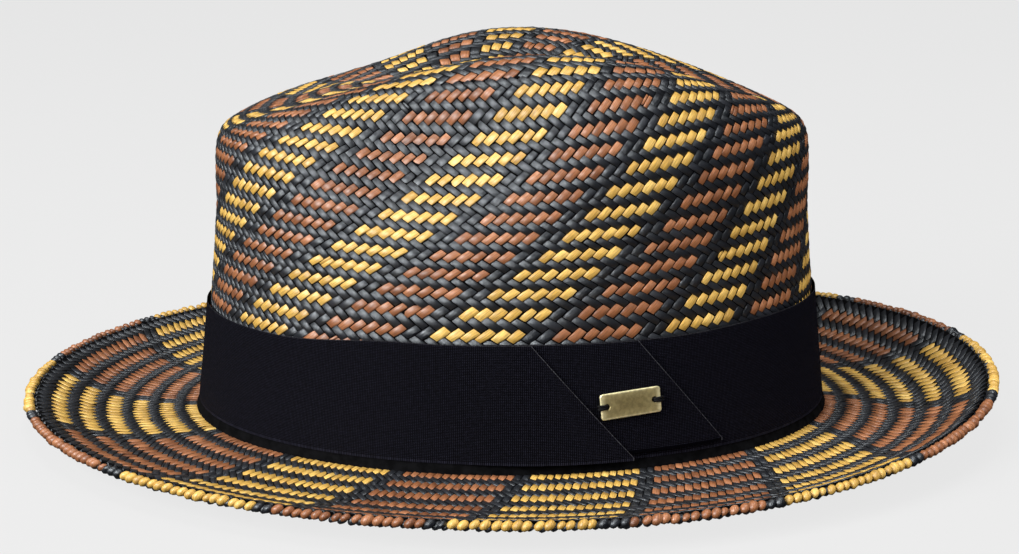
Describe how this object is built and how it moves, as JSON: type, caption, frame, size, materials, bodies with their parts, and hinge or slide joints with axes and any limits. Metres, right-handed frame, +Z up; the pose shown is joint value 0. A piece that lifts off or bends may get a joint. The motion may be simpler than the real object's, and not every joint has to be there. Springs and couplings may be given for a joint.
{
  "type": "straw fedora hat",
  "caption": "Woven straw fedora with a creased and pinched crown, an upturned brim with a plaited edge, and a black ribbon band with a small metal plate.",
  "frame": {"origin": "centre of the brim's oval on the surface that the hat rests on", "axes": "+Z up, -Y towards the front of the hat, +X towards the wearer's left, where the ribbon laps"},
  "size_m": [0.2912, 0.3134, 0.1179],
  "materials": {
    "straw": "diagonal twill plait of black, straw-yellow and brown dyed straw, satin",
    "plaited_straw": "plaited edge of the same straw, satin",
    "ribbon": "black ribbed ribbon, matte",
    "aged_brass": "antique patina with brighter worn edges"
  },
  "bodies": {
    "root": {"straw_body": "straw", "rim_plait": "plaited_straw", "band": "ribbon", "band_tuck": "ribbon", "band_plate": "aged_brass"}
  },
  "joints": []
}
